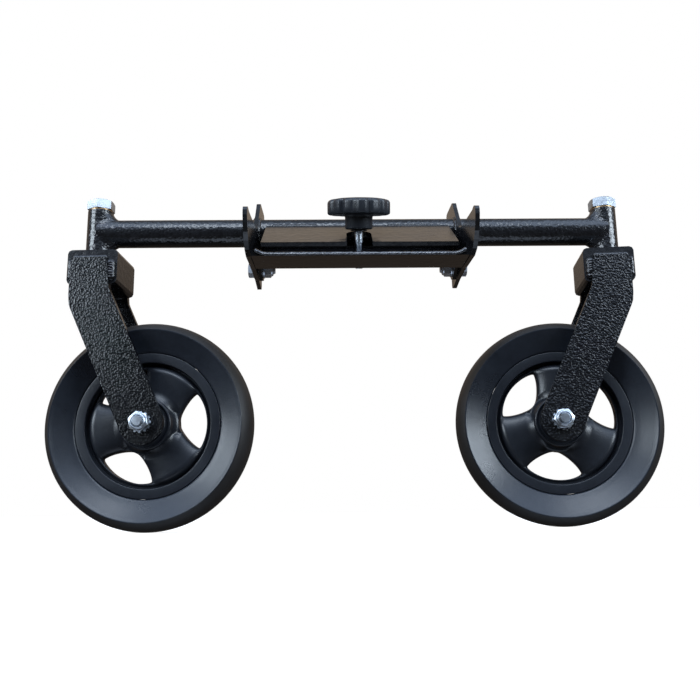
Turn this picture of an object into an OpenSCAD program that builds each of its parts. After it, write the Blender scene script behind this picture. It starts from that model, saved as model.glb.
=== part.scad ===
// Twin swivel-caster wheel attachment for a trailer jack.
// A crossbar carries a caster at each end and a screw clamp in the middle,
// which grips the square foot plate of the jack.
// Frame: X along the crossbar, Z up, the knob side faces -Y.
// Origin: centre of the clamp slot.  The tilted clamp is drawn in (u, v):
// u runs forward and down along the jaw, v is the jaw's upward normal.

/* [Crossbar] */
// Height of the crossbar's axis above the ground
bar_z = 296; // [290:1:302]
// Outer diameter of the crossbar tube
bar_d = 28; // [26:0.5:29]
// Wall thickness of the crossbar tube
bar_wall = 3; // [2:0.5:4]
// Distance from the middle of the crossbar to each swivel axis
swivel_x = 258; // [250:1:280]
// Outer diameter of the upright swivel tubes
steerer_d = 25.4; // [25:0.1:27]
// Height of the top of the swivel tubes above the ground
steerer_top = 319; // [317:0.5:322]

/* [Casters] */
// Outer diameter of the tyres
wheel_d = 200; // [190:1:202]
// Width of the tyres at their shoulders
tyre_w = 41; // [38:0.5:43]
// Trail of the wheel axle behind the swivel axis
trail = 59.5; // [55:0.5:62]
// Thickness of the fork legs
leg_t = 6; // [5:0.5:7]
// Width of the fork legs at the axle
leg_w = 41; // [38:0.5:43]
// Distance between the fork legs
fork_gap = 54; // [53:0.5:56]
// Turn of the left caster about its swivel axis
left_turn = -3; // [-8:0.5:8]
// Turn of the right wheel on its axle, against the left one
right_spokes = 33; // [0:1:60]
// Turn of the right caster about its swivel axis
right_turn = -7; // [-8:0.5:8]

/* [Clamp] */
// Offset of the clamp along the crossbar
clamp_x = 3.5; // [-8:0.5:8]
// Forward tilt of the clamp about the crossbar
tilt = 30; // [20:1:32]
// Distance between the two side plates
side_gap = 198; // [194:1:202]
// Thickness of the side plates
side_t = 4; // [3:0.5:5]
// Width of the upper jaw plate
plate_w = 183; // [170:1:186]
// Thickness of the upper jaw plate
plate_t = 4; // [3:0.5:4.5]
// Diameter of the clamp knob
knob_d = 60; // [54:1:62]
// Number of grip flutes around the knob
knob_flutes = 14; // [8:1:16]
// Lean of the clamp screw from the jaw's normal, towards upright
screw_lean = 12; // [0:1:13]

/* [Hidden] */
$fn = 64;

wheel_r = wheel_d / 2;
bar_r = bar_d / 2;
st_r = steerer_d / 2;
st_z0 = 272.4;                  // bottom of the swivel tubes
crown_z1 = 270.4;               // top of the fork crown
crown_z0 = 236;                 // bottom of the fork crown
crown_x0 = -20.5;
crown_x1 = 28.5;
leg_y = fork_gap / 2;           // inner face of a fork leg
kink = [23, 231];               // inner corner of a fork leg
leg_top = 261;
swivel_r = 8;                   // M16 swivel bolt
axle_r = 5;                     // M10 axle bolt
fit = 0.05;                     // radial clearance of a running fit
// clamp, in (u, v)
plate_u1 = 81;
plate_v0 = 2;
floor_v0 = -22.8;
floor_t = 3;
floor_u0 = -22;
bend_u = 63;
lip = [102, -2.5];
pivot = [22, -33.5];
stud_u = 50;                    // where the screw crosses the jaw plate
stud_v = 7.6;
stud_r = 4;
slot_end = 49;                  // centre of the rounded end of the plate's notch
hub_z = 4.6;                    // underside of the knob, along the screw
hub_h = 13.4;
disc_h = 15;
nut_z = -26.4;                  // underside of the weld nut, along the screw
slot_u = 45;
slot_v = -9;
org = [clamp_x, -(cos(tilt) * slot_u + sin(tilt) * slot_v),
       bar_z - sin(tilt) * slot_u + cos(tilt) * slot_v];

// the angle of the leg's lower part, from the tangent to the axle boss
leg_a = atan2(trail - kink[0], kink[1] - wheel_r)
      + asin((leg_w / 2) / norm([trail - kink[0], kink[1] - wheel_r]));

// ---- placing ----
module placed() { translate(-org) children(); }
// caster frame: x towards the trailing wheel, z up from the ground; s is -1 left, +1 right
module caster(s) {
    placed() translate([s * swivel_x, 0, 0]) rotate([0, 0, s < 0 ? left_turn : right_turn])
        mirror([s > 0 ? 1 : 0, 0, 0]) children();
}
// axle frame of a caster: z along the axle, towards the front (-Y)
module axle(s) { caster(s) translate([trail, 0, wheel_r]) rotate([90, 0, 0]) children(); }
// clamp frame: x = u forward, y = v up, z = across the clamp
module clamp() {
    placed() translate([clamp_x, 0, bar_z])
        multmatrix([[0, 0, 1, 0], [-cos(tilt), -sin(tilt), 0, 0], [-sin(tilt), cos(tilt), 0, 0], [0, 0, 0, 1]])
            children();
}
// clamp screw frame: z along the stud, 0 where it crosses the jaw plate
module screw() { clamp() along_screw() children(); }
module along_screw() { translate([stud_u, stud_v, 0]) rotate([0, 0, screw_lean]) rotate([-90, 0, 0]) children(); }

module ring(ro, ri, z0, z1) {
    translate([0, 0, z0]) difference() {
        cylinder(r = ro, h = z1 - z0);
        translate([0, 0, -1]) cylinder(r = ri, h = z1 - z0 + 2);
    }
}
module hex(af, z0, z1) { translate([0, 0, z0]) cylinder(d = af / cos(30), h = z1 - z0, $fn = 6); }
module hex_nut(af, ri, z0, z1) {
    difference() {
        hex(af, z0, z1);
        translate([0, 0, z0 - 1]) cylinder(r = ri, h = z1 - z0 + 2);
    }
}

// ---- crossbar and swivel tubes ----
module crossbar_tube() color([0.05, 0.05, 0.06]) placed() difference() {
    translate([-swivel_x, 0, bar_z]) rotate([0, 90, 0]) ring(bar_r, bar_r - bar_wall, 0, 2 * swivel_x);
    for (s = [-1, 1]) translate([s * swivel_x, 0, bar_z - 60]) cylinder(r = st_r, h = 120);
}
module steerer_tube(s) color([0.05, 0.05, 0.06]) placed()
    translate([s * swivel_x, 0, 0]) ring(st_r, 10, st_z0, steerer_top);
module steerer_bushes() color([0.75, 0.72, 0.62]) placed() for (s = [-1, 1])
    translate([s * swivel_x, 0, 0]) {
        ring(10, swivel_r + fit, steerer_top - 15, steerer_top);
        ring(st_r - 0.7, swivel_r + fit, steerer_top, steerer_top + 1.2);
        ring(10, swivel_r + fit, st_z0, st_z0 + 15);
    }

// ---- clamp ----
module upper_jaw_plate() color([0.05, 0.05, 0.06]) clamp() difference() {
    translate([plate_u1, plate_v0, -plate_w / 2]) rotate([0, 0, -3])
        translate([4 - plate_u1, 0, 0]) cube([plate_u1 - 4, plate_t, plate_w]);
    translate([0, 0, -plate_w]) cylinder(r = bar_r, h = 2 * plate_w);
    translate([slot_end, plate_v0 - 1, 0]) rotate([-90, 0, 0]) cylinder(r = 12, h = plate_t + 4);
    translate([slot_end, plate_v0 - 1, -12]) cube([60, plate_t + 4, 24]);
}
module side_plate(s) color([0.05, 0.05, 0.06]) clamp()
    translate([0, 0, s > 0 ? side_gap / 2 : -side_gap / 2 - side_t]) difference() {
        linear_extrude(height = side_t) polygon([
            [100, 37.2], [104.5, 40.6], [108, 42.4], [111.5, 42.6], [114.4, 40.8], [116.8, 36.8], [118.3, 30.5],
            [118.2, 22], [116.6, 14], [112.8, 5.2], [104, -2.8],
            [84, -12.8], [61.4, -24], [30, -42], [13, -54.2], [10, -56.2], [6.8, -56.6], [4, -54.8], [1, -50.4],
            [-5, -41], [-24, -20], [-49, 0.6], [-53, 4.4], [-54.4, 7.4], [-53.4, 10], [-50, 12.2],
            [-25, 24.6], [-21, 26.8], [-17.4, 27.6], [-14, 26.8], [-9, 24.2],
            [6, 18.6], [20, 13.2], [27, 11.4], [33, 11], [39, 11.6], [48, 14.6], [70, 24]]);
        translate([0, 0, -1]) cylinder(r = bar_r, h = side_t + 2);
        translate([pivot[0], pivot[1], -1]) cylinder(r = 4.2, h = side_t + 2);
    }
module each_pivot() for (s = [-1, 1]) clamp() translate([pivot[0], pivot[1], 0])
    mirror([0, 0, s < 0 ? 1 : 0]) translate([0, 0, side_gap / 2]) children();
module pivot_bolts() color([0.8, 0.82, 0.85]) each_pivot() {
    translate([0, 0, -16]) cylinder(r = 4, h = 17.5 + side_t);
    hex(13, side_t + 1.5, side_t + 7);
}
module pivot_washers() color([0.8, 0.82, 0.85]) each_pivot() {
    ring(8, 4.2, -5.6, -4.2);
    ring(8, 4.2, side_t, side_t + 1.5);
}
module pivot_nuts() color([0.8, 0.82, 0.85]) each_pivot() {
    hex_nut(13, 4, -12.1, -5.6);
    ring(6, 4, -14, -12.1);
}
module jaw_tray() color([0.05, 0.05, 0.06]) clamp() difference() {
    union() {
        translate([0, 0, -side_gap / 2 + 0.4]) linear_extrude(height = side_gap - 0.8) polygon([
            [floor_u0, floor_v0], [bend_u, floor_v0], lip, [lip[0] - 1.4, lip[1] + 2.7],
            [bend_u - 0.7, floor_v0 + floor_t], [floor_u0 + 3, floor_v0 + floor_t],
            [floor_u0 + 3, -12], [floor_u0, -12]]);
        for (s = [-1, 1]) translate([0, 0, s > 0 ? side_gap / 2 - 3.9 : -side_gap / 2 + 0.4])
            linear_extrude(height = 3.5) polygon([
                [-24, -14], [-21, -1], [-13, -1], [-2, -14], [0, floor_v0 + floor_t],
                [44, floor_v0 + floor_t], [46, floor_v0 - 1], [34, -36], [29, -42.5], [21, -44.5], [13, -42],
                [8, -36], [-2, -28]]);
        along_screw() translate([0, 0, nut_z - 3.1]) cylinder(r = 7, h = 3.08);
    }
    translate([0, 0, -side_gap]) cylinder(r = bar_r + 0.35, h = 2 * side_gap);
    translate([pivot[0], pivot[1], -side_gap]) cylinder(r = 4 + fit, h = 2 * side_gap);
    along_screw() translate([0, 0, nut_z - 9]) cylinder(r = stud_r + 0.5, h = 12);
}
module jaw_weld_nut() color([0.8, 0.82, 0.85]) screw() {
    hex_nut(13, stud_r + fit, nut_z, nut_z + 6.5);
}
module thrust_washer() color([0.05, 0.05, 0.06]) screw() ring(8, stud_r + 0.1, hub_z - 1.6, hub_z - 0.35);
module clamp_stud() color([0.8, 0.82, 0.85]) screw()
    translate([0, 0, nut_z - 6.6]) cylinder(r = stud_r, h = hub_z + hub_h - nut_z + 6.6);
module clamp_knob() color([0.03, 0.03, 0.03]) screw() difference() {
    union() {
        translate([0, 0, hub_z]) cylinder(r = 13.2, h = hub_h);
        translate([0, 0, hub_z + hub_h]) rotate_extrude($fn = 96) polygon([
            [0, 0], [knob_d / 2 - 1, 0], [knob_d / 2, 1], [knob_d / 2, disc_h - 4], [knob_d / 2 - 1.4, disc_h - 2],
            [knob_d / 2 - 5, disc_h - 0.9], [knob_d / 4, disc_h], [0, disc_h + 0.3]]);
    }
    translate([0, 0, hub_z - 1]) cylinder(r = stud_r, h = hub_h + 1);
    for (i = [0 : knob_flutes - 1]) rotate([0, 0, i * 360 / knob_flutes])
        translate([knob_d / 2 + 3.4, 0, hub_z + hub_h - 1]) cylinder(r = 5, h = disc_h + 3);
}

// ---- fork ----
module fork_crown(s) color([0.05, 0.05, 0.06]) caster(s) difference() {
    translate([0, leg_y, 0]) rotate([90, 0, 0]) linear_extrude(height = fork_gap) polygon([
        [crown_x0, crown_z0 + 4], [crown_x0 + 1.2, crown_z0 + 1.2], [crown_x0 + 4, crown_z0],
        [crown_x1 - 4, crown_z0], [crown_x1 - 1.2, crown_z0 + 1.2], [crown_x1, crown_z0 + 4],
        [crown_x1, crown_z1 - 4], [crown_x1 - 1.2, crown_z1 - 1.2], [crown_x1 - 4, crown_z1],
        [crown_x0 + 4, crown_z1], [crown_x0 + 1.2, crown_z1 - 1.2], [crown_x0, crown_z1 - 4]]);
    translate([0, 0, crown_z0 - 1]) cylinder(r = swivel_r + 0.15, h = 60);
}
module leg_shape() {
    n = [cos(leg_a), sin(leg_a)];
    outer = kink - leg_w * n;
    polygon([[15.5, leg_top], [18.7, leg_top - 1.3], [20.2, leg_top - 4.5], [21.6, kink[1] + 14], [kink[0] - 0.4, kink[1] + 4], kink, [kink[0] + 1.2, kink[1] - 3],
        [trail, wheel_r] + leg_w / 2 * n, [trail, wheel_r] - leg_w / 2 * n,
        outer + [1.6, -4.5], outer, outer + [-0.9, 8], [-15.5, leg_top - 20], [-15.5, leg_top - 4.5],
        [-14.2, leg_top - 1.3], [-11, leg_top]]);
    translate([trail, wheel_r]) circle(r = leg_w / 2 + 0.08, $fn = 96);
}
// side: +1 front (-Y), -1 rear
module fork_leg(s, side) color([0.05, 0.05, 0.06]) caster(s) difference() {
    translate([0, side > 0 ? -leg_y : leg_y + leg_t, 0]) rotate([90, 0, 0])
        linear_extrude(height = leg_t) leg_shape();
    translate([trail, 60, wheel_r]) rotate([90, 0, 0]) cylinder(r = axle_r + 0.05, h = 120);
}
module swivel_bolt(s) color([0.8, 0.82, 0.85]) caster(s) {
    translate([0, 0, crown_z0 - 19]) cylinder(r = swivel_r, h = steerer_top + 1.5 - crown_z0 + 19);
    hex(24, steerer_top + 1.5, steerer_top + 11.5);
    translate([0, 0, steerer_top + 11.5]) cylinder(r = 11, h = 0.8);
}
module swivel_washers(s) color([0.8, 0.82, 0.85]) caster(s) {
    ring(15, swivel_r + 0.1, crown_z1, st_z0 - 0.3);
    ring(14, swivel_r + 0.1, crown_z0 - 2.5, crown_z0);
}
module swivel_nut(s) color([0.8, 0.82, 0.85]) caster(s) {
    hex_nut(24, swivel_r, crown_z0 - 14.5, crown_z0 - 2.5);
    ring(10.6, swivel_r, crown_z0 - 17, crown_z0 - 14.5);
}
// along the axle, z is towards the front
f0 = fork_gap / 2 + leg_t;      // outer face of a leg
module axle_bolt(s) color([0.8, 0.82, 0.85]) axle(s) {
    translate([0, 0, -f0 - 1.6]) cylinder(r = axle_r, h = 2 * f0 + 1.6 + 13.5);
    hex(17, -f0 - 1.6 - 6.4, -f0 - 1.6);
}
module axle_nut(s) color([0.8, 0.82, 0.85]) axle(s) {
    hex_nut(17, axle_r, f0 + 1.6, f0 + 9);
    ring(7.6, axle_r, f0 + 9, f0 + 11.4);
}
module tooth_washers(s) color([0.8, 0.82, 0.85]) axle(s) for (z = [f0, -f0 - 1.6])
    difference() {
        union() {
            ring(8.8, axle_r + 0.1, z, z + 1.6);
            for (i = [0 : 11]) rotate([0, 0, i * 30]) translate([8.2, -1.1, z + 0.2]) cube([1.9, 2.2, 1.2]);
        }
    }
b_y = 20;                       // outer face of a bearing from the wheel's middle
module axle_spacers(s) color([0.8, 0.82, 0.85]) axle(s) for (m = [0, 1]) mirror([0, 0, m])
    ring(7.4, axle_r + 0.05, b_y, leg_y);
module bearing_inner_races(s) color([0.8, 0.82, 0.85]) axle(s) for (m = [0, 1]) mirror([0, 0, m])
    translate([0, 0, b_y - 8]) difference() {
        ring(7.4, axle_r + 0.03, 0, 8);
        translate([0, 0, 4]) rotate_extrude($fn = 64) translate([9, 0]) circle(r = 2.4, $fn = 32);
    }
module bearing_spacer(s) color([0.8, 0.82, 0.85]) axle(s) ring(6.8, axle_r + 0.03, -b_y + 8, b_y - 8);

// ---- wheel ----
function tread_r(t) = wheel_r - 8.3 * pow(abs(t), 2.6);
hw = tyre_w / 2;
module tyre(s) color([0.07, 0.07, 0.08]) axle(s) rotate_extrude($fn = 120) polygon(concat(
    [for (i = [-10 : 10]) [tread_r(i / 10), hw * i / 10]],
    [[90.2, hw], [84, hw - 3.6], [76, hw - 7.8], [69.5, hw - 10], [69.5, -hw + 10], [76, -hw + 7.8], [84, -hw + 3.6], [90.2, -hw]]));
module window_2d(a) {
    // rounded window between two spokes
    polygon([for (p = [[28.6, -4], [28.6, 4], [30, 9], [33, 13.6], [37.5, 17.6], [43, 20.8], [46.8, 22.6], [49.6, 22.4],
        [51.8, 20.2], [54, 14.5], [55.4, 7.5], [55.8, 0], [55.4, -7.5], [54, -14.5], [51.8, -20.2], [49.6, -22.4],
        [46.8, -22.6], [43, -20.8], [37.5, -17.6], [33, -13.6], [30, -9]])
        [p[0] * cos(a) - p[1] * sin(a), p[0] * sin(a) + p[1] * cos(a)]]);
}
module wheel_rim(s) color([0.06, 0.06, 0.07]) axle(s) difference() {
    union() {
        ring(69.5, 60.5, -10.5, 10.5);
        linear_extrude(height = 13, center = true) difference() {
            circle(r = 61);
            for (a = [5, 125, 245]) window_2d(a + (s > 0 ? right_spokes : 0));
        }
        translate([0, 0, -b_y + 0.5]) cylinder(r = 25, h = 2 * b_y - 1);
    }
    translate([0, 0, -60]) cylinder(r = 8.5, h = 120);
    for (m = [0, 1]) mirror([0, 0, m]) translate([0, 0, b_y - 8]) cylinder(r = 13, h = 20);
}
module bearing_outer_races(s) color([0.8, 0.82, 0.85]) axle(s) for (m = [0, 1]) mirror([0, 0, m])
    translate([0, 0, b_y - 8]) difference() {
        ring(13, 10.6, 0, 8);
        translate([0, 0, 4]) rotate_extrude($fn = 64) translate([9, 0]) circle(r = 2.4, $fn = 32);
    }
module bearing_balls(s) color([0.8, 0.82, 0.85]) axle(s) for (m = [0, 1]) mirror([0, 0, m])
    for (i = [0 : 6]) rotate([0, 0, i * 360 / 7]) translate([9, 0, b_y - 4]) sphere(r = 2.35, $fn = 24);

crossbar_tube();
steerer_tube(-1);  // steerer_tube_left
steerer_tube(1);  // steerer_tube_right
steerer_bushes();
upper_jaw_plate();
side_plate(-1);  // side_plate_left
side_plate(1);  // side_plate_right
pivot_bolts();
pivot_washers();
pivot_nuts();
jaw_tray();
jaw_weld_nut();
thrust_washer();
clamp_knob();
clamp_stud();
fork_crown(-1);  // fork_crown_left
fork_leg(-1, 1);  // fork_leg_front_left
fork_leg(-1, -1);  // fork_leg_rear_left
swivel_bolt(-1);  // swivel_bolt_left
swivel_washers(-1);  // swivel_washers_left
swivel_nut(-1);  // swivel_nut_left
axle_bolt(-1);  // axle_bolt_left
axle_nut(-1);  // axle_nut_left
tooth_washers(-1);  // tooth_washers_left
axle_spacers(-1);  // axle_spacers_left
bearing_inner_races(-1);  // bearing_inner_races_left
tyre(-1);  // tyre_left
wheel_rim(-1);  // wheel_rim_left
bearing_outer_races(-1);  // bearing_outer_races_left
bearing_balls(-1);  // bearing_balls_left
bearing_spacer(-1);  // bearing_spacer_left
fork_crown(1);  // fork_crown_right
fork_leg(1, 1);  // fork_leg_front_right
fork_leg(1, -1);  // fork_leg_rear_right
swivel_bolt(1);  // swivel_bolt_right
swivel_washers(1);  // swivel_washers_right
swivel_nut(1);  // swivel_nut_right
axle_bolt(1);  // axle_bolt_right
axle_nut(1);  // axle_nut_right
tooth_washers(1);  // tooth_washers_right
axle_spacers(1);  // axle_spacers_right
bearing_inner_races(1);  // bearing_inner_races_right
tyre(1);  // tyre_right
wheel_rim(1);  // wheel_rim_right
bearing_outer_races(1);  // bearing_outer_races_right
bearing_balls(1);  // bearing_balls_right
bearing_spacer(1);  // bearing_spacer_right
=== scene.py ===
import bpy, bmesh, math
from math import sin, cos, pi, radians, sqrt
from mathutils import Vector, Matrix, noise


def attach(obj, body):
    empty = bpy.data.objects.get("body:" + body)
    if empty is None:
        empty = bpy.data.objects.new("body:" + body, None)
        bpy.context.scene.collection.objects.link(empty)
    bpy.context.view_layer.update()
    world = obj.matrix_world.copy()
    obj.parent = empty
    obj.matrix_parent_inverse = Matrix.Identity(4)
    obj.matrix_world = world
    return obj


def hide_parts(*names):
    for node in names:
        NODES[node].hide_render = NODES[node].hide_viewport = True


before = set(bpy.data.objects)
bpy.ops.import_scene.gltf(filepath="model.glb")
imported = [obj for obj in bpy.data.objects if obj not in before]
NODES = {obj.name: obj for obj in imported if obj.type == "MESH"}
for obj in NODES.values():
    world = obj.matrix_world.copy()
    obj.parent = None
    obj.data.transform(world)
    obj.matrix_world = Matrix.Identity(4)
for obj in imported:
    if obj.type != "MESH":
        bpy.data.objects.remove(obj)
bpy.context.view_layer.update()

# ------------------------------------------------------------------ placing (mm, z from the ground)
TILT, BAR_Z, CX = radians(30), 296.0, 3.5
SWX, TRAIL, WR = 258.0, 59.5, 100.0
ORG = (CX, -(cos(TILT) * 45 + sin(TILT) * -9), BAR_Z - sin(TILT) * 45 + cos(TILT) * -9)
TURN = {-1: radians(-3), 1: radians(-7)}
SIDE = {-1: "left", 1: "right"}

def W(x, y, z):
    return Vector(((x - ORG[0]) / 1000, (y - ORG[1]) / 1000, (z - ORG[2]) / 1000))
def UV(u, v, w=0):
    return W(CX + w, -cos(TILT) * u - sin(TILT) * v, BAR_Z - sin(TILT) * u + cos(TILT) * v)
def CAS(s, x, y, z):
    x = -s * x
    a = TURN[s]
    return W(s * SWX + x * cos(a) - y * sin(a), x * sin(a) + y * cos(a), z)
def AX(s, a, b, c):
    return CAS(s, TRAIL + a, -c, WR + b)
LEAN = radians(12)
def SCREW(x, y, z):          # z along the stud, x across the clamp
    return UV(50 - z * sin(LEAN) + y * cos(LEAN), 7.6 + z * cos(LEAN) + y * sin(LEAN), x)

# ------------------------------------------------------------------ meshes
def mesh_obj(name, verts, faces, mats, body, node=(), smooth=38, fmat=None):
    me = bpy.data.meshes.new(name)
    me.from_pydata([tuple(v) for v in verts], [], faces)
    me.update()
    if fmat:
        for p, m in zip(me.polygons, fmat):
            p.material_index = m
    bm = bmesh.new(); bm.from_mesh(me)
    bmesh.ops.remove_doubles(bm, verts=bm.verts, dist=1e-6)
    bmesh.ops.dissolve_degenerate(bm, edges=bm.edges, dist=1e-7)
    bmesh.ops.recalc_face_normals(bm, faces=bm.faces)
    for e in bm.edges:
        e.smooth = not (len(e.link_faces) == 2 and e.calc_face_angle(0) > radians(smooth))
    for f in bm.faces:
        f.smooth = True
    bm.to_mesh(me); bm.free()
    ob = bpy.data.objects.new(name, me)
    bpy.context.scene.collection.objects.link(ob)
    for m in (mats if isinstance(mats, (list, tuple)) else [mats]):
        me.materials.append(m)
    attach(ob, body)
    if node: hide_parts(*node)
    return ob

class Soup:
    """Collects closed sub-meshes before they become one object."""
    def __init__(self): self.v, self.f, self.m = [], [], []
    def add(self, v, f, m=0):
        o = len(self.v); self.v += v
        for q in f: self.f.append([i + o for i in q]); self.m.append(m)

def grid_faces(nu, nv, wrap_u, wrap_v):
    out = []
    for i in range(nu if wrap_u else nu - 1):
        for j in range(nv if wrap_v else nv - 1):
            a, b = i * nv + j, ((i + 1) % nu) * nv + j
            out.append((a, b, ((i + 1) % nu) * nv + (j + 1) % nv, i * nv + (j + 1) % nv))
    return out

def lathe(profile, place, seg=192, closed=True):
    """profile: [(r, z)] closed loop round the axis, or open with r=0 ends."""
    n = len(profile)
    v = []
    for i in range(seg):
        a = 2 * pi * i / seg
        for r, z in profile:
            v.append(place(r * cos(a), r * sin(a), z))
    return v, grid_faces(seg, n, True, closed)

def rounded(poly, r, n=4):
    """Rounds the corners of a closed 2-D polygon."""
    out, N = [], len(poly)
    for i in range(N):
        p0, p1, p2 = Vector(poly[i - 1]), Vector(poly[i]), Vector(poly[(i + 1) % N])
        a, b = (p0 - p1), (p2 - p1)
        rr = r[i] if isinstance(r, (list, tuple)) else r
        d = min(rr, a.length * .45, b.length * .45)
        if d < 1e-4:
            out.append((p1.x, p1.y)); continue
        s, e = p1 + a.normalized() * d, p1 + b.normalized() * d
        for k in range(n + 1):
            t = k / n
            q = s * (1 - t) ** 2 + p1 * 2 * t * (1 - t) + e * t * t
            out.append((q.x, q.y))
    return out

def hexr(af, a):
    t = (a + pi / 6) % (pi / 3) - pi / 6
    return af / 2 / cos(t)

def hex_body(place, af, z0, z1, hole=0, cham0=True, cham1=True, seg=96, turn=0):
    """Hexagon with turned chamfers; z1 is the outer end."""
    prof = []
    v = []
    rows = None
    for i in range(seg):
        a = 2 * pi * i / seg
        R, rc = hexr(af, a), af / 2 * .97
        k = math.tan(radians(28))
        d = max(0, R - rc) * k
        row = []
        row.append((hole, z0))
        row.append((rc * .96, z0))
        row.append((rc, z0 + .05))
        row.append((R - .12, z0 + (d if cham0 else 0.12)))
        row.append((R, z0 + (d if cham0 else 0.12) + .12))
        row.append((R, z1 - (d if cham1 else 0.12) - .12))
        row.append((R - .12, z1 - (d if cham1 else 0.12)))
        row.append((rc, z1 - .05))
        row.append((rc * .96, z1))
        row.append((hole, z1))
        rows = len(row)
        for r, z in row:
            v.append(place(r * cos(a + turn), r * sin(a + turn), z))
    return v, grid_faces(seg, rows, True, hole > 0)

def thread(place, r, z0, z1, pitch=1.25, depth=.35, seg=40, cap=1.0, end0=True):
    """A screw end with real ridges, closed at both ends, its far end chamfered."""
    n = max(6, int((z1 - z0) / pitch * 6))
    v, rows = [], n + 5
    for i in range(seg):
        a = 2 * pi * i / seg
        col = [(0, z0), (r * .9, z0)]
        for k in range(n + 1):
            z = z0 + .1 + (z1 - z0 - cap - .1) * k / n
            ph = ((z - z0) / pitch - i / seg) % 1
            col.append((r - depth * (1 - abs(2 * ph - 1)) ** 1, z))
        col += [(r - cap * .8, z1), (0, z1)]
        rows = len(col)
        for rr, z in col:
            v.append(place(rr * cos(a), rr * sin(a), z))
    return v, grid_faces(seg, rows, True, False)

def rnd(i, s=0):
    return noise.noise(Vector((i * 1.37 + s, s * 2.11, i * .31)))

def bead(path, up, w, h, pitch=2.2, seed=0, closed=False, taper=True):
    """A rippled weld bead. path: points in metres; up: function of index giving the outward normal; w, h: half width and height in mm."""
    # resample
    pts = [Vector(p) for p in path]
    if closed: pts.append(pts[0].copy())
    L = [0]
    for a, b in zip(pts, pts[1:]): L.append(L[-1] + (b - a).length)
    n = max(8, int(L[-1] * 1000 / .45))
    out, ups = [], []
    j = 0
    for k in range(n + (0 if closed else 1)):
        d = L[-1] * k / n
        while j < len(L) - 2 and L[j + 1] < d: j += 1
        t = (d - L[j]) / max(L[j + 1] - L[j], 1e-9)
        out.append(pts[j].lerp(pts[j + 1], t))
        u0, u1 = Vector(up(j)), Vector(up(min(j + 1, len(path) - 1) if not closed else (j + 1) % len(path)))
        ups.append(u0.lerp(u1, t).normalized())
    N, M = len(out), 15
    v = []
    for k in range(N):
        p0 = out[k - 1] if (closed or k > 0) else out[k]
        p1 = out[(k + 1) % N] if (closed or k < N - 1) else out[k]
        T = (p1 - p0).normalized()
        U = (ups[k] - T * ups[k].dot(T)).normalized()
        S = T.cross(U)
        s_mm = L[-1] * 1000 * k / n
        wob = 1 + .14 * rnd(s_mm / 5.0, seed)
        end = 1.0
        if taper and not closed:
            e = min(s_mm, L[-1] * 1000 - s_mm) / (w * 1.1)
            end = sqrt(max(0.0, 1 - (1 - min(1, e)) ** 2)) * .93 + .07
        for i in range(M):
            a = pi * i / (M - 1)          # 0..pi over the crown of the bead
            side = cos(a)
            # ripples bow backwards over the width
            ph = (s_mm / pitch + .55 * (1 - side * side) + .25 * rnd(s_mm / 9, seed + 5)) % 1
            rip = .16 * (1 - ph) ** 1.5
            hh = h * wob * end * (sin(a) ** .75 if 0 < i < M - 1 else 0) * (1 - .7 * rip)
            ww = w * wob * end * (1 + .10 * (1 - ph))
            v.append(out[k] + S * (side * ww / 1000) + U * (hh / 1000))
        v.append(out[k] - U * (.6 / 1000))
    M += 1
    f = grid_faces(N, M, closed, True)
    if not closed:
        f.append(tuple(range(M - 1, -1, -1)))
        f.append(tuple((N - 1) * M + i for i in range(M)))
    return v, f

# ------------------------------------------------------------------ materials
def new_mat(name):
    m = bpy.data.materials.new(name); m.use_nodes = True
    nt = m.node_tree
    for n in list(nt.nodes):
        if n.type != "OUTPUT_MATERIAL" and n.type != "BSDF_PRINCIPLED": nt.nodes.remove(n)
    b = next(n for n in nt.nodes if n.type == "BSDF_PRINCIPLED")
    return m, nt, b
def nd(nt, t, **kw):
    n = nt.nodes.new(t)
    for k, v in kw.items(): setattr(n, k, v)
    return n
def coords(nt):
    return nd(nt, "ShaderNodeTexCoord").outputs["Object"]
def noise_tex(nt, vec, scale, detail=3, rough=.55, dist=0):
    n = nd(nt, "ShaderNodeTexNoise"); n.inputs["Scale"].default_value = scale
    n.inputs["Detail"].default_value = detail; n.inputs["Roughness"].default_value = rough
    n.inputs["Distortion"].default_value = dist
    nt.links.new(vec, n.inputs["Vector"]); return n.outputs["Fac"]
def vor(nt, vec, scale, feature="SMOOTH_F1", smooth=.6, rnd_=1.0):
    n = nd(nt, "ShaderNodeTexVoronoi", feature=feature); n.inputs["Scale"].default_value = scale
    if feature == "SMOOTH_F1": n.inputs["Smoothness"].default_value = smooth
    n.inputs["Randomness"].default_value = rnd_
    nt.links.new(vec, n.inputs["Vector"]); return n.outputs["Distance"]
def ramp(nt, fac, stops):
    n = nd(nt, "ShaderNodeValToRGB"); cr = n.color_ramp
    while len(cr.elements) < len(stops): cr.elements.new(.5)
    for e, (p, c) in zip(cr.elements, stops):
        e.position = p; e.color = tuple(c) + (1,) if len(c) == 3 else c
    nt.links.new(fac, n.inputs["Fac"]); return n.outputs["Color"]
def math_(nt, op, a, b=None, c=None):
    n = nd(nt, "ShaderNodeMath", operation=op)
    for i, x in enumerate((a, b, c)):
        if x is None: continue
        if isinstance(x, (int, float)): n.inputs[i].default_value = x
        else: nt.links.new(x, n.inputs[i])
    return n.outputs[0]
def bump(nt, h, strength, dist, prev=None):
    n = nd(nt, "ShaderNodeBump"); n.inputs["Strength"].default_value = strength
    n.inputs["Distance"].default_value = dist
    nt.links.new(h, n.inputs["Height"])
    if prev: nt.links.new(prev, n.inputs["Normal"])
    return n.outputs["Normal"]
def grey(v): return (v, v, v)

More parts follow.
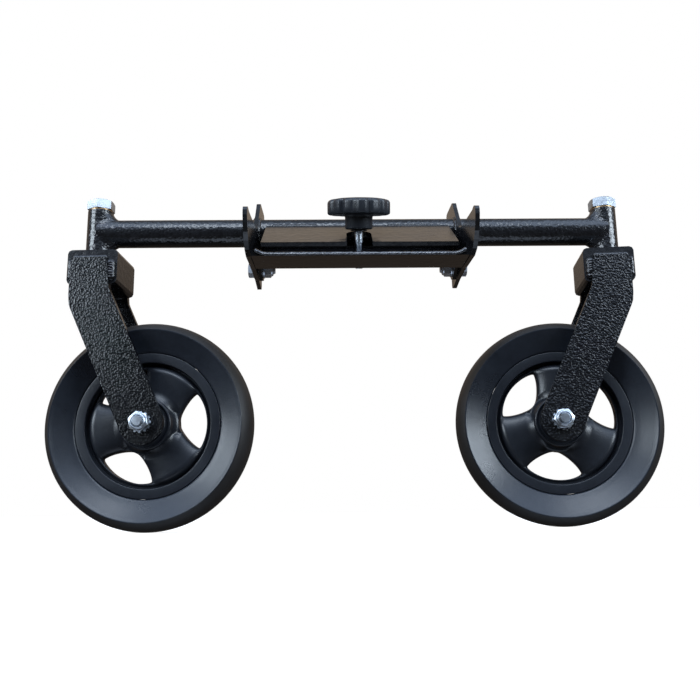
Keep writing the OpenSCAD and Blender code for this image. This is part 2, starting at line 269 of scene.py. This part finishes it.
def paint(name, cell, hammer, rough=(.2, .34), lum=1.0, coat=.25):
    """Black hammered powder coat: smooth pits with raised rims, a fine orange peel and slight cloudiness."""
    m, nt, b = new_mat(name)
    co = coords(nt)
    v = vor(nt, co, cell, smooth=.45)
    n1 = noise_tex(nt, co, cell * 1.9, 2, .5)
    h = math_(nt, "ADD", math_(nt, "MULTIPLY", v, 1.25), math_(nt, "MULTIPLY", n1, .55))
    peel = noise_tex(nt, co, 1500, 2, .6)
    cloud = noise_tex(nt, co, 22, 3, .6)
    nt.links.new(bump(nt, peel, .10, .0002, bump(nt, h, hammer, .0011)), b.inputs["Normal"])
    mix = math_(nt, "ADD", math_(nt, "MULTIPLY", v, .6), math_(nt, "MULTIPLY", cloud, .6))
    # lum scales the base colour: below 1 it paints shade into a copy of the coat, above 1 it paints light
    nt.links.new(ramp(nt, mix, [(.25, (.004 * lum, .0042 * lum, .005 * lum)), (.8, (.011 * lum, .0115 * lum, .0135 * lum))]), b.inputs["Base Color"])
    nt.links.new(ramp(nt, math_(nt, "ADD", math_(nt, "MULTIPLY", cloud, .6), math_(nt, "MULTIPLY", n1, .4)), [(.3, grey(rough[0])), (.7, grey(rough[1]))]), b.inputs["Roughness"])
    b.inputs["Coat Weight"].default_value = coat
    b.inputs["Coat Roughness"].default_value = .12
    b.inputs["Specular IOR Level"].default_value = .55
    return m

M_BAR = paint("paint_tube", 330, .30, (.16, .26))
# the fork legs are the same black coat as the rest, with painted shade in their colour: the left legs darkened to .35,
# the right legs less, to .6
M_LEG_DEEP_PAINTED_SHADE = paint("paint_leg", 600, .27, (.12, .20), lum=.35, coat=.0)
M_LEG_R_LIGHT_PAINTED_SHADE = paint("paint_leg_right", 500, .46, (.13, .22), lum=.6, coat=.10)
# the lip's edge: the same black coat with its colour three times lighter, a painted highlight
M_LIP_PAINTED_HIGHLIGHT = paint("paint_lip", 300, .75, (.13, .24), lum=3.0, coat=1.0)
M_PLATE = paint("paint_plate", 170, .10, (.14, .24))
M_CROWN = paint("paint_crown", 200, .16, (.20, .32))
M_WELD = paint("paint_weld", 420, .35, (.16, .28))

def metal(name, col, rough, grain=900, brushed=False, spots=.0):
    m, nt, b = new_mat(name)
    co = coords(nt)
    n1 = noise_tex(nt, co, grain, 3, .6); n2 = noise_tex(nt, co, 60, 4, .65)
    c0 = tuple(x * .72 for x in col)
    nt.links.new(ramp(nt, n2, [(.3, c0), (.62, col)]), b.inputs["Base Color"])
    nt.links.new(ramp(nt, math_(nt, "ADD", math_(nt, "MULTIPLY", n1, .4), math_(nt, "MULTIPLY", n2, .6)), [(.3, grey(rough * .75)), (.7, grey(rough * 1.35))]), b.inputs["Roughness"])
    nt.links.new(bump(nt, n1, .12, .0002), b.inputs["Normal"])
    b.inputs["Metallic"].default_value = 1.0
    return m
M_ZINC = metal("zinc", (.74, .80, .87), .34)
# a darker copy of the same zinc for the swivel bolt's head: painted shade that tones down its bright reflections
M_HEAD_ZINC_PAINTED_SHADE = metal("zinc_head", (.60, .66, .73), .38)
# a lighter, part-diffuse copy of the zinc for the pivot bolts, nuts and washers: painted light that keeps them bright
# where they face away from the lamps
M_SIDE_ZINC_PAINTED_LIGHT = metal("zinc_side", (.86, .92, 1.0), .30)
for n_ in M_SIDE_ZINC_PAINTED_LIGHT.node_tree.nodes:
    if n_.type == "BSDF_PRINCIPLED": n_.inputs["Metallic"].default_value = .72
M_STEEL = metal("bearing_steel", (.56, .57, .60), .2)
M_BRONZE = metal("sintered_bronze", (.50, .34, .18), .38)

def plastic(name, lo, hi, rough, grain=1400, gb=.25, cloud_s=14, spec=.5):
    m, nt, b = new_mat(name)
    co = coords(nt)
    g = noise_tex(nt, co, grain, 3, .65); c = noise_tex(nt, co, cloud_s, 4, .6); mid = noise_tex(nt, co, 260, 3, .6)
    nt.links.new(ramp(nt, math_(nt, "ADD", math_(nt, "MULTIPLY", c, .7), math_(nt, "MULTIPLY", mid, .3)), [(.32, lo), (.68, hi)]), b.inputs["Base Color"])
    nt.links.new(ramp(nt, c, [(.3, grey(rough * .85)), (.7, grey(rough * 1.2))]), b.inputs["Roughness"])
    nt.links.new(bump(nt, g, gb, .00022, bump(nt, mid, .08, .0004)), b.inputs["Normal"])
    b.inputs["Specular IOR Level"].default_value = spec
    return m
M_WALL = plastic("tyre_wall", (.008, .010, .0145), (.017, .021, .029), .29, grain=1100, gb=.40)
M_TREAD = plastic("tyre_tread", (.008, .0072, .007), (.016, .0145, .014), .50, grain=900, gb=.35)
M_RIM = plastic("rim_plastic", (.008, .0095, .013), (.016, .019, .025), .33, grain=1600, gb=.22)
M_KNOB = plastic("knob_plastic", (.010, .012, .016), (.020, .024, .031), .36, grain=1800, gb=.3)

# ------------------------------------------------------------------ CAD nodes that stay
def keep(node, mat, bevel=0, seg=3, angle=30):
    o = NODES[node]
    o.data.materials.clear() if not o.material_slots else None
    if o.material_slots:
        for s in o.material_slots: s.material = mat
    else:
        o.data.materials.append(mat)
    if bevel:
        b = o.modifiers.new("edge", "BEVEL"); b.width = bevel / 1000; b.segments = seg
        b.limit_method = "ANGLE"; b.angle_limit = radians(angle); b.use_clamp_overlap = True
        b.harden_normals = False

keep("crossbar_tube", M_BAR)
for sd in ("left", "right"):
    keep("steerer_tube_" + sd, M_BAR)
    keep("side_plate_" + sd, M_PLATE, .9, 3, 20)
    keep("fork_crown_" + sd, M_CROWN, .8)
    # left legs take the deeper painted shade, right legs the lighter painted shade
    for k in ("front", "rear"): keep("fork_leg_%s_%s" % (k, sd), M_LEG_DEEP_PAINTED_SHADE if sd == "left" else M_LEG_R_LIGHT_PAINTED_SHADE, .9)
    for k in ("swivel_washers", "axle_spacers", "tooth_washers", "swivel_nut", "bearing_spacer"): keep("%s_%s" % (k, sd), M_ZINC)
    for k in ("bearing_inner_races", "bearing_outer_races", "bearing_balls"): keep("%s_%s" % (k, sd), M_STEEL)
keep("steerer_bushes", M_BRONZE)
keep("upper_jaw_plate", M_PLATE, .45)
keep("jaw_tray", M_PLATE, .45)
keep("jaw_weld_nut", M_ZINC, .2)
keep("thrust_washer", M_PLATE, .15)
keep("pivot_washers", M_SIDE_ZINC_PAINTED_LIGHT, .15)

# ------------------------------------------------------------------ wheels
def wheel(s):
    sd = SIDE[s]; P = lambda x, y, z: AX(s, x, y, z)
    hw = 20.5
    tr = lambda t: 100 - 8.3 * abs(t) ** 2.6
    # tyre: tread between the shoulders, a fine shoulder bead, a dished wall, a bead seat groove
    wall = [(91.7, hw), (91.35, hw + .35), (90.8, hw + .38), (90.2, hw + .05), (89.6, hw - .35), (87, hw - 1.7), (84, hw - 3.3),
            (80.5, hw - 5.1), (77, hw - 6.9), (74, hw - 8.3), (71.6, hw - 9.3), (70.6, hw - 9.75), (70.1, hw - 10.3), (69.6, hw - 11.4)]
    tread = [(tr(i / 16), hw * i / 16) for i in range(-16, 17)]
    prof = tread + wall[1:] + [(r, -z) for r, z in reversed(wall[1:])]
    n = len(prof); seg = 240
    v, f = lathe(prof, P, seg)
    nt_ = len(tread)
    fm = [1 if (j < nt_ - 1) else 0 for i in range(seg) for j in range(n)]
    mesh_obj("tyre_moulded_" + sd, v, f, [M_WALL, M_TREAD], sd + "_wheel", ["tyre_" + sd], 40, fm)
    # rim
    S = Soup()
    ring = rounded([(60.2, -10.4), (69.4, -10.4), (69.4, 10.4), (60.2, 10.4), (59.5, 3.0), (59.5, -3.0)], [1.0, .6, .6, 1.0, .3, .3], 5)
    S.add(*lathe(ring, P, 240))
    hub = rounded([(8.6, -11.9), (13.02, -11.9), (13.02, -19.2), (18.0, -19.2), (18.8, -17.9), (21.6, -17.9), (22.3, -19.3), (24.4, -19.0), (25.0, -9), (25.0, 9),
                   (24.4, 19.0), (22.3, 19.3), (21.6, 17.9), (18.8, 17.9), (18.0, 19.2), (13.02, 19.2), (13.02, 11.9), (8.6, 11.9)],
                  [.2, .2, .3, .6, .4, .4, .6, 1.0, 1, 1, 1.0, .6, .4, .4, .6, .3, .2, .2], 4)
    S.add(*lathe(hub, P, 160))
    # the web with its three windows: rows run outwards, columns run from window to window
    R0, R1 = 28.6, 55.8
    rows = [24.0, 25.4, 26.8, 27.8, R0 - .02]
    n = 56
    rows += [R0 + (R1 - R0) * (1 - cos(pi * k / n)) / 2 for k in range(n + 1)]
    rows += [R1 + .3, 56.6, 57.2, 57.8, 58.6, 59.6, 60.4]
    def half(rr):
        if rr <= R0 or rr >= R1: return 0.0
        t = min(1, (rr - R0) / (54 - R0))
        g = radians(29.5) * sqrt(max(0, 1 - (1 - t) ** 2.0))
        if rr > 52.4: g *= sqrt(max(0, 1 - ((rr - 52.4) / 3.4) ** 3))
        return g
    def zc(rr):
        mid = 10.3 + 3.6 * max(0, (33 - rr) / 9) ** 1.8
        if rr > 50.5: mid = 2.4 + (mid - 2.4) * sqrt(max(0, 1 - ((rr - 50.5) / 7.0) ** 2.4)) if rr < 57.5 else 2.4
        return mid
    def height(rr, q):
        h_ = half(rr)
        wide = radians(120) - 2 * h_
        off = (q - .5) * wide
        # pillow across the spoke: as wide as the gap between two windows
        hb = half(min(max(rr, 33), 50.5)) if rr < 33 or rr > 50.5 else h_
        wb = radians(60) - hb
        u = min(1, abs(off) / wb)
        pil = (1 - u ** 2.5) ** .60
        base = 2.4
        z = base + (zc(rr) - base) * pil
        if rr < 33: z = max(z, 5.4 + 6.0 * max(0, (29.5 - rr) / 5) ** 2)
        lipv = 4.9 - .62 * abs(rr - 56.1) ** 2.2
        return max(z, lipv if rr > 54.0 else 0, base)
    nq = 40
    v, f = [], []
    A0 = 5 + (33 if s > 0 else 0)
    idx = {}
    for side in (1, -1):
        for k in range(3):
            for i, rr in enumerate(rows):
                h_ = half(rr)
                for j in range(nq + 1):
                    q = j / nq
                    a = radians(A0 + 120 * k) + h_ + q * (radians(120) - 2 * h_)
                    z = height(rr, q)
                    if h_ > 0 and j in (0, nq): z = min(z, 2.3 if rr < 54 else z)
                    idx[(side, k, i, j)] = len(v)
                    v.append(P(rr * cos(a), rr * sin(a), side * z))
    for k in range(3):
        for i in range(len(rows) - 1):
            for j in range(nq):
                for side in (1, -1):
                    q4 = (idx[(side, k, i, j)], idx[(side, k, i + 1, j)], idx[(side, k, i + 1, j + 1)], idx[(side, k, i, j + 1)])
                    f.append(q4 if side > 0 else q4[::-1])
            if half(rows[i]) > 0 or half(rows[i + 1]) > 0:
                for j in (0, nq):
                    f.append((idx[(1, k, i, j)], idx[(1, k, i + 1, j)], idx[(-1, k, i + 1, j)], idx[(-1, k, i, j)]))
        for i in (0, len(rows) - 1):
            for j in range(nq):
                f.append((idx[(1, k, i, j)], idx[(1, k, i, j + 1)], idx[(-1, k, i, j + 1)], idx[(-1, k, i, j)]))
    S.add(v, f)
    mesh_obj("rim_moulded_" + sd, S.v, S.f, M_RIM, sd + "_wheel", ["wheel_rim_" + sd], 50)

# ------------------------------------------------------------------ fasteners
def fasteners(s):
    sd = SIDE[s]; fb = sd + "_fork"
    # swivel bolt
    S = Soup(); C = lambda x, y, z: CAS(s, x, y, z)
    tn = radians(1 if s < 0 else -9)
    S.add(*hex_body(C, 24, 320.55, 330.4, 0, False, True, turn=tn))
    S.add(*lathe([(0, 330.0), (9.6, 330.0), (10.2, 330.6), (9.9, 331.0), (0, 331.1)], C, 64, False))
    S.add(*lathe([(0, 217.5), (7.2, 217.5), (8, 218.4), (8, 320.6), (0, 320.6)], C, 64, False))
    mesh_obj("swivel_bolt_%s_full" % sd, S.v, S.f, M_HEAD_ZINC_PAINTED_SHADE, fb, ["swivel_bolt_" + sd], 30)
    # axle bolt with its threaded end at the front, nut, tooth washers stay CAD
    A = lambda x, y, z: AX(s, x, y, z); S = Soup()
    S.add(*hex_body(A, 17, -41.0, -34.6, 0, True, False))
    S.add(*lathe([(0, -35), (5, -35), (5, 33), (0, 33)], A, 48, False))
    S.add(*thread(A, 4.98, 33, 46.4, 1.5, .5))
    mesh_obj("axle_bolt_%s_full" % sd, S.v, S.f, M_ZINC, fb, ["axle_bolt_" + sd], 30)
    S = Soup()
    S.add(*hex_body(A, 17, 34.6, 42.0, 5.02, True, True, turn=radians(12 if s < 0 else 25)))
    S.add(*lathe(rounded([(5.6, 41.6), (7.7, 41.6), (7.5, 43.6), (6.6, 44.4), (5.6, 44.3)], .5, 3), A, 64))
    mesh_obj("axle_nut_%s_full" % sd, S.v, S.f, M_ZINC, fb, ["axle_nut_" + sd], 30)

def pivots():
    B, N = Soup(), Soup()
    for s in (-1, 1):
        P = lambda x, y, z, s=s: UV(22 + x, -33.5 + y, s * (99 + z))
        B.add(*hex_body(P, 13, 5.52, 11.0, 0, False, True, turn=.4))
        B.add(*lathe([(0, -12), (4, -12), (4, 5.6), (0, 5.6)], P, 40, False))
        Q = lambda x, y, z, s=s: UV(22 + x, -33.5 + y, s * (99 - z))
        B.add(*thread(Q, 3.98, 12, 15.9, 1.25, .4))
        N.add(*hex_body(Q, 13, 5.6, 12.1, 4.02, True, True, turn=.2))
        N.add(*lathe(rounded([(4.5, 11.8), (6.0, 11.8), (5.8, 13.4), (5.0, 13.9), (4.5, 13.8)], .4, 3), Q, 48))
    # pivot bolts and nuts use the lighter zinc copy with painted light
    mesh_obj("pivot_bolts_full", B.v, B.f, M_SIDE_ZINC_PAINTED_LIGHT, "frame", ["pivot_bolts"], 30)
    mesh_obj("pivot_nuts_full", N.v, N.f, M_SIDE_ZINC_PAINTED_LIGHT, "frame", ["pivot_nuts"], 30)

def knob():
    # disc with rounded lobes
    seg, R = 336, 30
    prof = [(0, 18), (12, 18), (24, 18.0), (28.2, 18.15), (29.4, 18.7), (30, 19.9), (30, 24), (30, 28.4), (29.8, 30.0),
            (29.0, 31.3), (27.2, 32.2), (22, 33.1), (15, 33.7), (8, 34.1), (0, 34.2)]
    v = []
    for i in range(seg):
        a = 2 * pi * i / seg
        ph = (a * 14 / (2 * pi) + .18) % 1
        d = abs(ph - .5) * 2                       # 1 in the middle of a groove
        g = 2.3 * max(0, (d - .40) / .60) ** 1.35
        for q, z in prof:
            k = max(0, (q - 21) / 9) ** 1.5
            v.append(SCREW((q - g * k) * cos(a), (q - g * k) * sin(a), z))
    S = Soup(); S.add(v, grid_faces(seg, len(prof), True, False))
    hub = [(4.05, 4.6), (11.9, 4.6), (12.8, 4.95), (13.2, 5.8), (13.2, 15.2), (13.5, 16.8), (14.5, 18.05), (4.05, 18.05)]
    S.add(*lathe(hub, SCREW, 96))
    mesh_obj("clamp_knob_moulded", S.v, S.f, M_KNOB, "clamp_screw", ["clamp_knob"], 46)
    S = Soup(); S.add(*thread(lambda x, y, z: SCREW(x, y, -z), 3.98, -18, 33, 1.25, .42, 48))
    mesh_obj("clamp_stud_threaded", S.v, S.f, M_ZINC, "clamp_screw", ["clamp_stud"], 60)

# ------------------------------------------------------------------ weld beads
def welds():
    S = Soup()
    for s in (-1, 1):
        # fillet round the crossbar's end on the swivel tube
        n, m = 160, 9
        v = []
        for i in range(n):
            p = 2 * pi * i / n
            top = cos(p) ** 2
            Lx = 3.6 + 3.4 * top + .5 * rnd(i / 6, s)
            Ly = 3.0 + 4.2 * top + .5 * rnd(i / 7, s + 9)
            y, z = 14 * sin(p), 14 * cos(p)
            x0 = sqrt(max(0, 12.7 ** 2 - min(abs(y), 12.7) ** 2))
            B = Vector((x0 + Lx, 14.02 * sin(p), 14.02 * cos(p)))
            ys = max(-12.7, min(12.7, y * (14 + Ly) / 14))
            St = Vector((sqrt(max(0, 12.7 ** 2 - ys * ys)) + .02, ys * 1.002, (14 + Ly) * cos(p)))
            C0 = Vector((x0, y, z)) * 1.0
            rip = .35 * (1 - (i / n * 34) % 1)
            for j in range(m):
                t = j / (m - 1)
                q = B.lerp(St, t)
                # concave face, slightly full in the middle, with ripples
                sag = sin(pi * t)
                q = q + (C0 - q) * (.26 * sag) - (C0 - q).normalized() * (rip * sag)
                v.append(q)
            v.append(C0 * .985 + Vector((0, 0, 0)))
        m += 1
        pts = [W(s * SWX - s * q.x, q.y, BAR_Z + q.z) for q in v]
        S.add(pts, grid_faces(n, m, True, True))
    # side plates on the crossbar, both faces
    for s in (-1, 1):
        for d, w, h in ((4.0, 2.6, 2.0), (0.0, 2.2, 1.7)):
            X = CX + s * (99 + d)
            out = s if d else -s
            arc = [(radians(a)) for a in range(0, 360, 6)]
            path = [W(X, 14.1 * cos(a), BAR_Z + 14.1 * sin(a)) for a in arc]
            ups = [Vector((out * .8, cos(a) * .6, sin(a) * .6)) for a in arc]
            S.add(*bead(path, lambda k, U=ups: U[k % len(U)], w, h, 2.1, s + d, closed=True))
    # upper jaw plate on the crossbar, above (two runs) and below (stitches)
    for x0, x1 in ((-86, -40), (30, 84)):
        path = [UV(10.3, 9.6, x) for x in range(x0, x1 + 1, 2)]
        S.add(*bead(path, lambda k: (UV(10.9, 10.6) - UV(10.3, 9.6)).normalized(), 1.5, 1.0, 2.0, x0))
    for x0, x1 in ((-80, -52), (-14, 14), (50, 80)):
        path = [UV(13.2, 5.4, x) for x in range(x0, x1 + 1, 2)]
        S.add(*bead(path, lambda k: (UV(13.8, 4.4) - UV(13.2, 5.4)).normalized(), 2.2, 1.8, 2.1, x0))
    mesh_obj("weld_beads_frame", S.v, S.f, M_WELD, "frame", (), 60)
    # forks
    for s in (-1, 1):
        S = Soup()
        for k in (-1, 1):
            y = k * 27.0
            C = lambda x, z, dy=0: CAS(s, x, y + k * dy, z)
            up = (CAS(s, 0, 1, 0) - CAS(s, 0, 0, 0)).normalized() * k
            ux = (CAS(s, 1, 0, 0) - CAS(s, 0, 0, 0)).normalized()
            uz = Vector((0, 0, 1))
            # inner side run, wide and rippled
            path = [C(22.6, z) for z in range(238, 261, 2)]
            S.add(*bead(path, lambda i: (up + ux * .35).normalized(), 4.2, 4.0, 2.6, s + k))
            # top run and outer run
            path = [C(x, 262.0) for x in range(-15, 20, 2)]
            S.add(*bead(path, lambda i: (up * .9 + uz * .45).normalized(), 2.4, 2.8, 2.4, s + k + 3))
            path = [C(-17.2, z) for z in range(240, 262, 2)]
            S.add(*bead(path, lambda i: (up * .9 - ux * .4).normalized(), 2.6, 2.8, 2.4, s + k + 6))
            # under the crown, inside the leg
            path = [CAS(s, x, k * 25.6, 235.9) for x in range(-12, 22, 2)]
            S.add(*bead(path, lambda i: (-uz * .9 - up * .45).normalized(), 2.6, 2.2, 2.4, s + k + 8))
        mesh_obj("weld_beads_fork_" + SIDE[s], S.v, S.f, M_WELD, SIDE[s] + "_fork", (), 60)

def lip_bead():
    # the rolled, mottled edge of the tray's lip, its colour lightened threefold as a painted highlight; its ends turn
    # up towards the side plates
    S = Soup()
    xs = [-96 + i * 1.5 for i in range(129)]
    path = [UV(101.7, -.9 + 4.2 * max(0, (abs(x) - 84) / 12) ** 2, x) for x in xs]
    up = (UV(.45, .90) - UV(0, 0)).normalized()
    S.add(*bead(path, lambda k: up, 1.9, 1.5, 3.4, 4))
    mesh_obj("tray_lip_edge", S.v, S.f, M_LIP_PAINTED_HIGHLIGHT, "lower_jaw", (), 60)

for s in (-1, 1):
    wheel(s); fasteners(s)
pivots(); knob(); welds(); lip_bead()

# ------------------------------------------------------------------ stage
def plane(name, size, z):
    me = bpy.data.meshes.new(name)
    me.from_pydata([(-size, -size, z), (size, -size, z), (size, size, z), (-size, size, z)], [], [(0, 1, 2, 3)])
    o = bpy.data.objects.new(name, me); bpy.context.scene.collection.objects.link(o)
    m, nt, b = new_mat(name + "_mat")
    n = noise_tex(nt, coords(nt), 3, 2, .5)
    nt.links.new(ramp(nt, n, [(.3, grey(.46)), (.7, grey(.48))]), b.inputs["Base Color"])
    b.inputs["Roughness"].default_value = 1.0
    b.inputs["Specular IOR Level"].default_value = 0.0
    b.inputs["Emission Color"].default_value = (1, 1, 1, 1)
    b.inputs["Emission Strength"].default_value = .80
    me.materials.append(m)
    o.visible_glossy = False; o.visible_diffuse = False
    return o
plane("floor", 30.0, -ORG[2] / 1000 - .0003)

world = bpy.data.worlds.new("studio"); bpy.context.scene.world = world
world.use_nodes = True
nt = world.node_tree
for n in list(nt.nodes): nt.nodes.remove(n)
out = nd(nt, "ShaderNodeOutputWorld"); mixs = nd(nt, "ShaderNodeMixShader")
lp = nd(nt, "ShaderNodeLightPath")
bw = nd(nt, "ShaderNodeBackground"); bw.inputs["Color"].default_value = (1, 1, 1, 1); bw.inputs["Strength"].default_value = 1.0
be = nd(nt, "ShaderNodeBackground"); be.inputs["Strength"].default_value = .62
tc = nd(nt, "ShaderNodeTexCoord"); sep = nd(nt, "ShaderNodeSeparateXYZ")
nt.links.new(tc.outputs["Generated"], sep.inputs[0])
z01 = math_(nt, "MULTIPLY_ADD", sep.outputs["Z"], .5, .5)
E_ = lambda e: (sin(radians(e)) + 1) / 2
front = ramp(nt, z01, [(E_(-90), (.10, .11, .12)), (E_(-78), (.9, 1.05, 1.3)), (E_(-64), (.9, 1.05, 1.3)), (E_(-52), (.06, .055, .05)), (E_(-15), (.03, .027, .025)),
                       (E_(14), (.05, .055, .065)), (E_(30), (.26, .33, .44)), (E_(42), (1.6, 2.0, 2.7)), (E_(70), (1.35, 1.7, 2.3)), (E_(86), (.2, .24, .3))])
back = ramp(nt, z01, [(E_(-90), (.10, .11, .12)), (E_(-60), (.06, .055, .05)), (E_(-10), (.07, .055, .045)), (E_(12), (.15, .118, .092)),
                      (E_(32), (.47, .38, .30)), (E_(45), (.50, .41, .32)), (E_(56), (.13, .115, .10)), (E_(86), (.2, .24, .3))])
yy = nd(nt, "ShaderNodeMapRange", interpolation_type="SMOOTHSTEP")
yy.inputs["From Min"].default_value = -.25; yy.inputs["From Max"].default_value = .25
nt.links.new(sep.outputs["Y"], yy.inputs["Value"])
mixc = nd(nt, "ShaderNodeMix", data_type="RGBA")
nt.links.new(yy.outputs["Result"], mixc.inputs["Factor"]); 
def colour_sockets(n): return [i for i in n.inputs if i.type == "RGBA"]
ca, cb = colour_sockets(mixc)
nt.links.new(front, ca); nt.links.new(back, cb)
nt.links.new([o for o in mixc.outputs if o.type == "RGBA"][0], be.inputs["Color"])
be.inputs["Strength"].default_value = 1.0
nt.links.new(lp.outputs["Is Camera Ray"], mixs.inputs["Fac"])
nt.links.new(be.outputs[0], mixs.inputs[1]); nt.links.new(bw.outputs[0], mixs.inputs[2])
nt.links.new(mixs.outputs[0], out.inputs["Surface"])

def area(name, loc, target, size, energy, color=(1, 1, 1), sy=None):
    l = bpy.data.lights.new(name, "AREA"); l.energy = energy; l.color = color
    l.shape = "RECTANGLE"; l.size = size; l.size_y = sy or size
    o = bpy.data.objects.new(name, l); bpy.context.scene.collection.objects.link(o)
    o.location = loc
    o.rotation_euler = (Vector(target) - Vector(loc)).to_track_quat("-Z", "Y").to_euler()
    o.visible_camera = False
    return o
area("key_top_front", (-.10, -1.0, 1.15), (0, 0, -.05), .9, 7, (.84, .92, 1.0), .35)
area("fill_left", (-1.75, -1.1, .50), (0, 0, -.1), 1.1, 30, (.78, .89, 1.0), .8)
area("fill_right", (1.75, -1.1, .50), (0, 0, -.1), 1.1, 36, (.78, .89, 1.0), .8)
o = area("top", (0, .25, 1.9), (0, 0, 0), 1.8, 16, (1, 1, 1))
o.visible_glossy = False

# ------------------------------------------------------------------ camera
CAM = dict(f=780.0, pitch=11.77, yaw=-1.28, roll=.75, x=-22.3, y=-756.97, z=16.11)
def R3(axis, deg): return Matrix.Rotation(radians(deg), 3, axis)
R = R3("Z", CAM["yaw"]) @ R3("X", CAM["pitch"]) @ R3("Y", CAM["roll"])
right, fwd, upv = R @ Vector((1, 0, 0)), R @ Vector((0, 1, 0)), R @ Vector((0, 0, 1))
cam = bpy.data.cameras.new("camera"); co_ = bpy.data.objects.new("camera", cam)
bpy.context.scene.collection.objects.link(co_)
mat = Matrix.Identity(4)
for i, c in enumerate((right, upv, -fwd)):
    for j in range(3): mat[j][i] = c[j]
p = W(CAM["x"], CAM["y"], CAM["z"])
for j in range(3): mat[j][3] = p[j]
co_.matrix_world = mat
cam.sensor_width = 36; cam.sensor_fit = "HORIZONTAL"; cam.lens = CAM["f"] / 700 * 36
cam.clip_start = .01; cam.clip_end = 60
bpy.context.scene.camera = co_
bpy.context.scene.view_settings.view_transform = "Standard"
